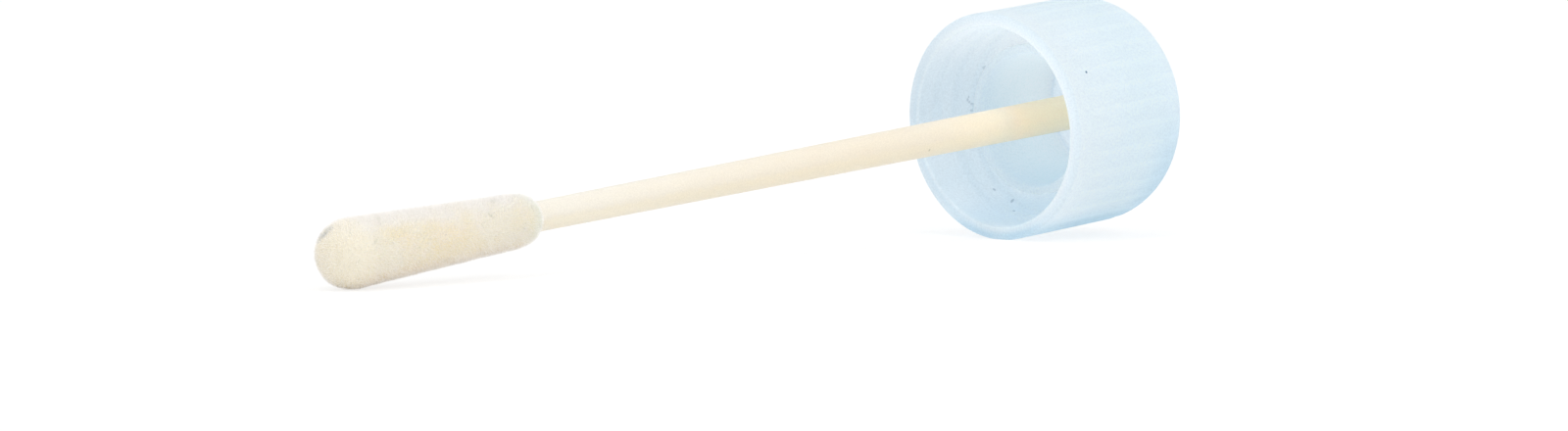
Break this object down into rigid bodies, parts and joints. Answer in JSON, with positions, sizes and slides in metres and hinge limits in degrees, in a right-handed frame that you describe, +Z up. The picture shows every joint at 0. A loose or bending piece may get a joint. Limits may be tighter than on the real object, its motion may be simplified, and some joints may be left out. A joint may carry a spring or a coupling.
{
  "type": "specimen swab with screw cap",
  "caption": "Flocked specimen swab: a tapered plastic shaft with a soft fibre bud, fixed in the socket of a pale blue screw cap with an inner thread and plug seal.",
  "frame": {"origin": "on the table under the middle of the lying swab's bounding box", "axes": "+X from the bud towards the cap's closed end, level; +Y across the shaft; +Z up from the table; the swab's own axis rises 5.19 degrees towards +X"},
  "size_m": [0.0816, 0.017, 0.0177],
  "materials": {
    "cap_polypropylene": "satin, translucent",
    "shaft_plastic": "satin",
    "bud_fibre": "flocked fibre"
  },
  "bodies": {
    "root": {"screw_cap": "cap_polypropylene", "swab_shaft": "shaft_plastic", "swab_bud": "bud_fibre"}
  },
  "joints": []
}
